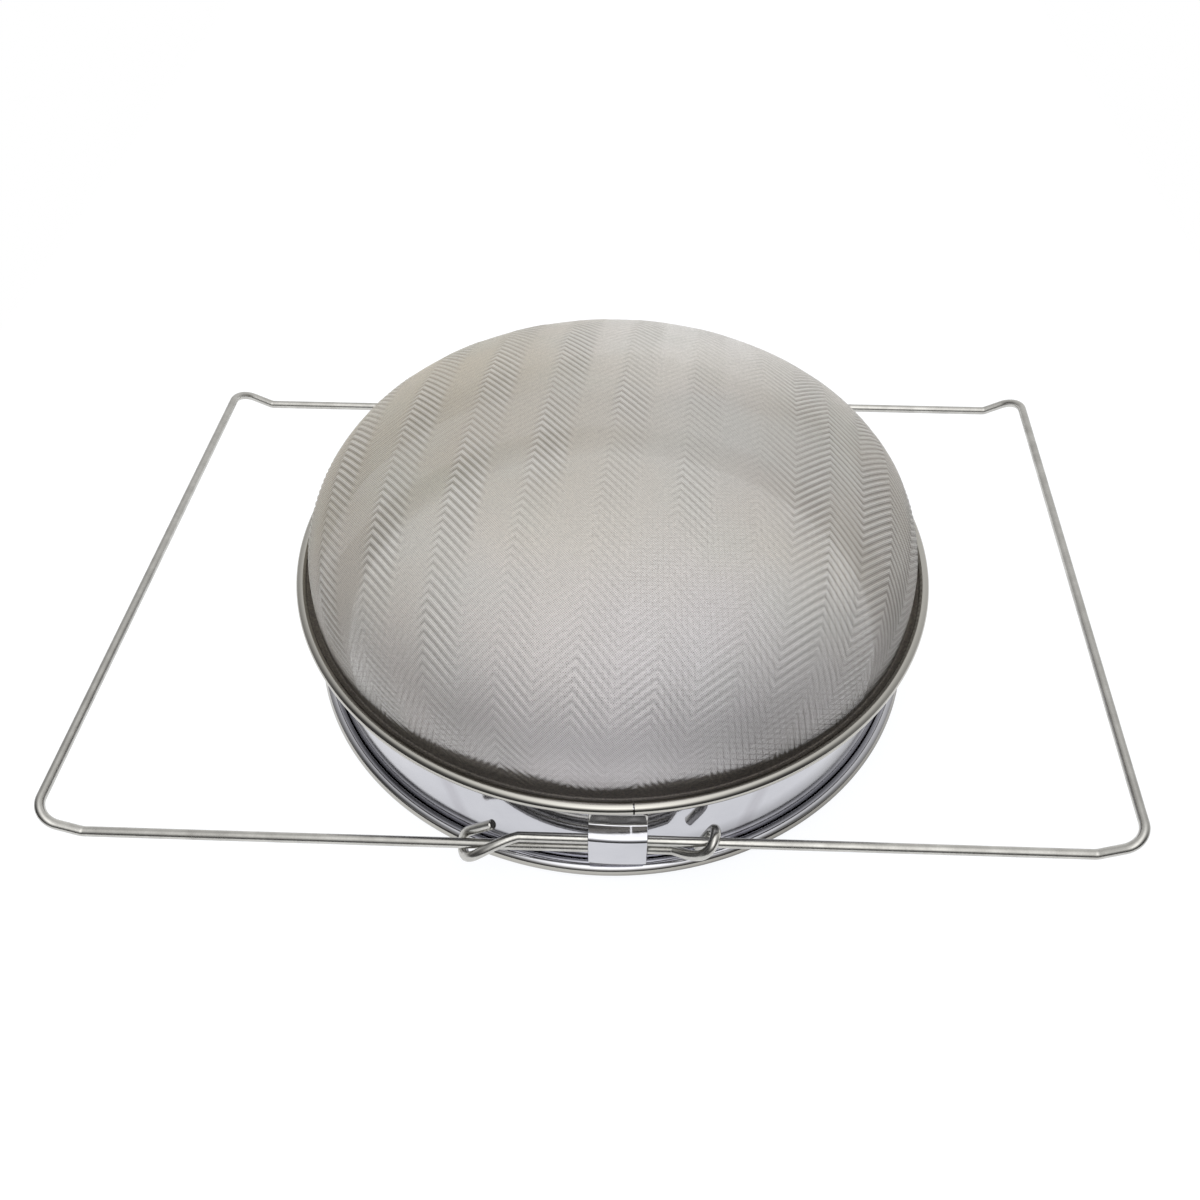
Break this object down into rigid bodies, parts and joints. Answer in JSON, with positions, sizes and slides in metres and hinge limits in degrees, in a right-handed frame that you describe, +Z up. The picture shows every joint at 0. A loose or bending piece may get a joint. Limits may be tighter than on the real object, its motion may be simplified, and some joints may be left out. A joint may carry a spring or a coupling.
{
  "type": "double sieve strainer",
  "caption": "Round steel double sieve strainer: domed fine twill screen on a rolled hoop, nested over a flat coarse sieve, with a telescoping wire frame that rests across a bucket.",
  "frame": {"origin": "centre of the mouth, on the surface that the strainer rests on mouth down", "axes": "+Z up through the crown of the dome, +X along the handles' travel towards the right end bar, -Y towards the front clamp"},
  "size_m": [0.3775, 0.2452, 0.1013],
  "materials": {
    "polished_steel": "mirror polished stainless sheet",
    "wire_steel": "drawn stainless wire, satin",
    "fine_mesh": "fine stainless herringbone twill",
    "coarse_mesh": "plain woven stainless wire"
  },
  "bodies": {
    "coarse_sieve": {"coarse_band": "polished_steel", "coarse_screen": "coarse_mesh", "coarse_screen_hoop": "wire_steel"},
    "fine_sieve": {"fine_wall": "polished_steel", "fine_screen": "fine_mesh", "crimp_ring": "polished_steel", "front_clamp": "polished_steel", "back_clamp": "polished_steel"},
    "left_frame": {"left_handle": "wire_steel"},
    "right_frame": {"right_handle": "wire_steel"}
  },
  "joints": [
    {"name": "sieve_lift", "type": "slide", "parent": "coarse_sieve", "child": "fine_sieve", "axis": [0, 0, 1], "range_m": [0, 0.06]},
    {"name": "left_handle_slide", "type": "slide", "parent": "fine_sieve", "child": "left_frame", "axis": [-1, 0, 0], "range_m": [-0.055, 0.008]},
    {"name": "right_handle_slide", "type": "slide", "parent": "fine_sieve", "child": "right_frame", "axis": [1, 0, 0], "range_m": [-0.055, 0.02]}
  ]
}
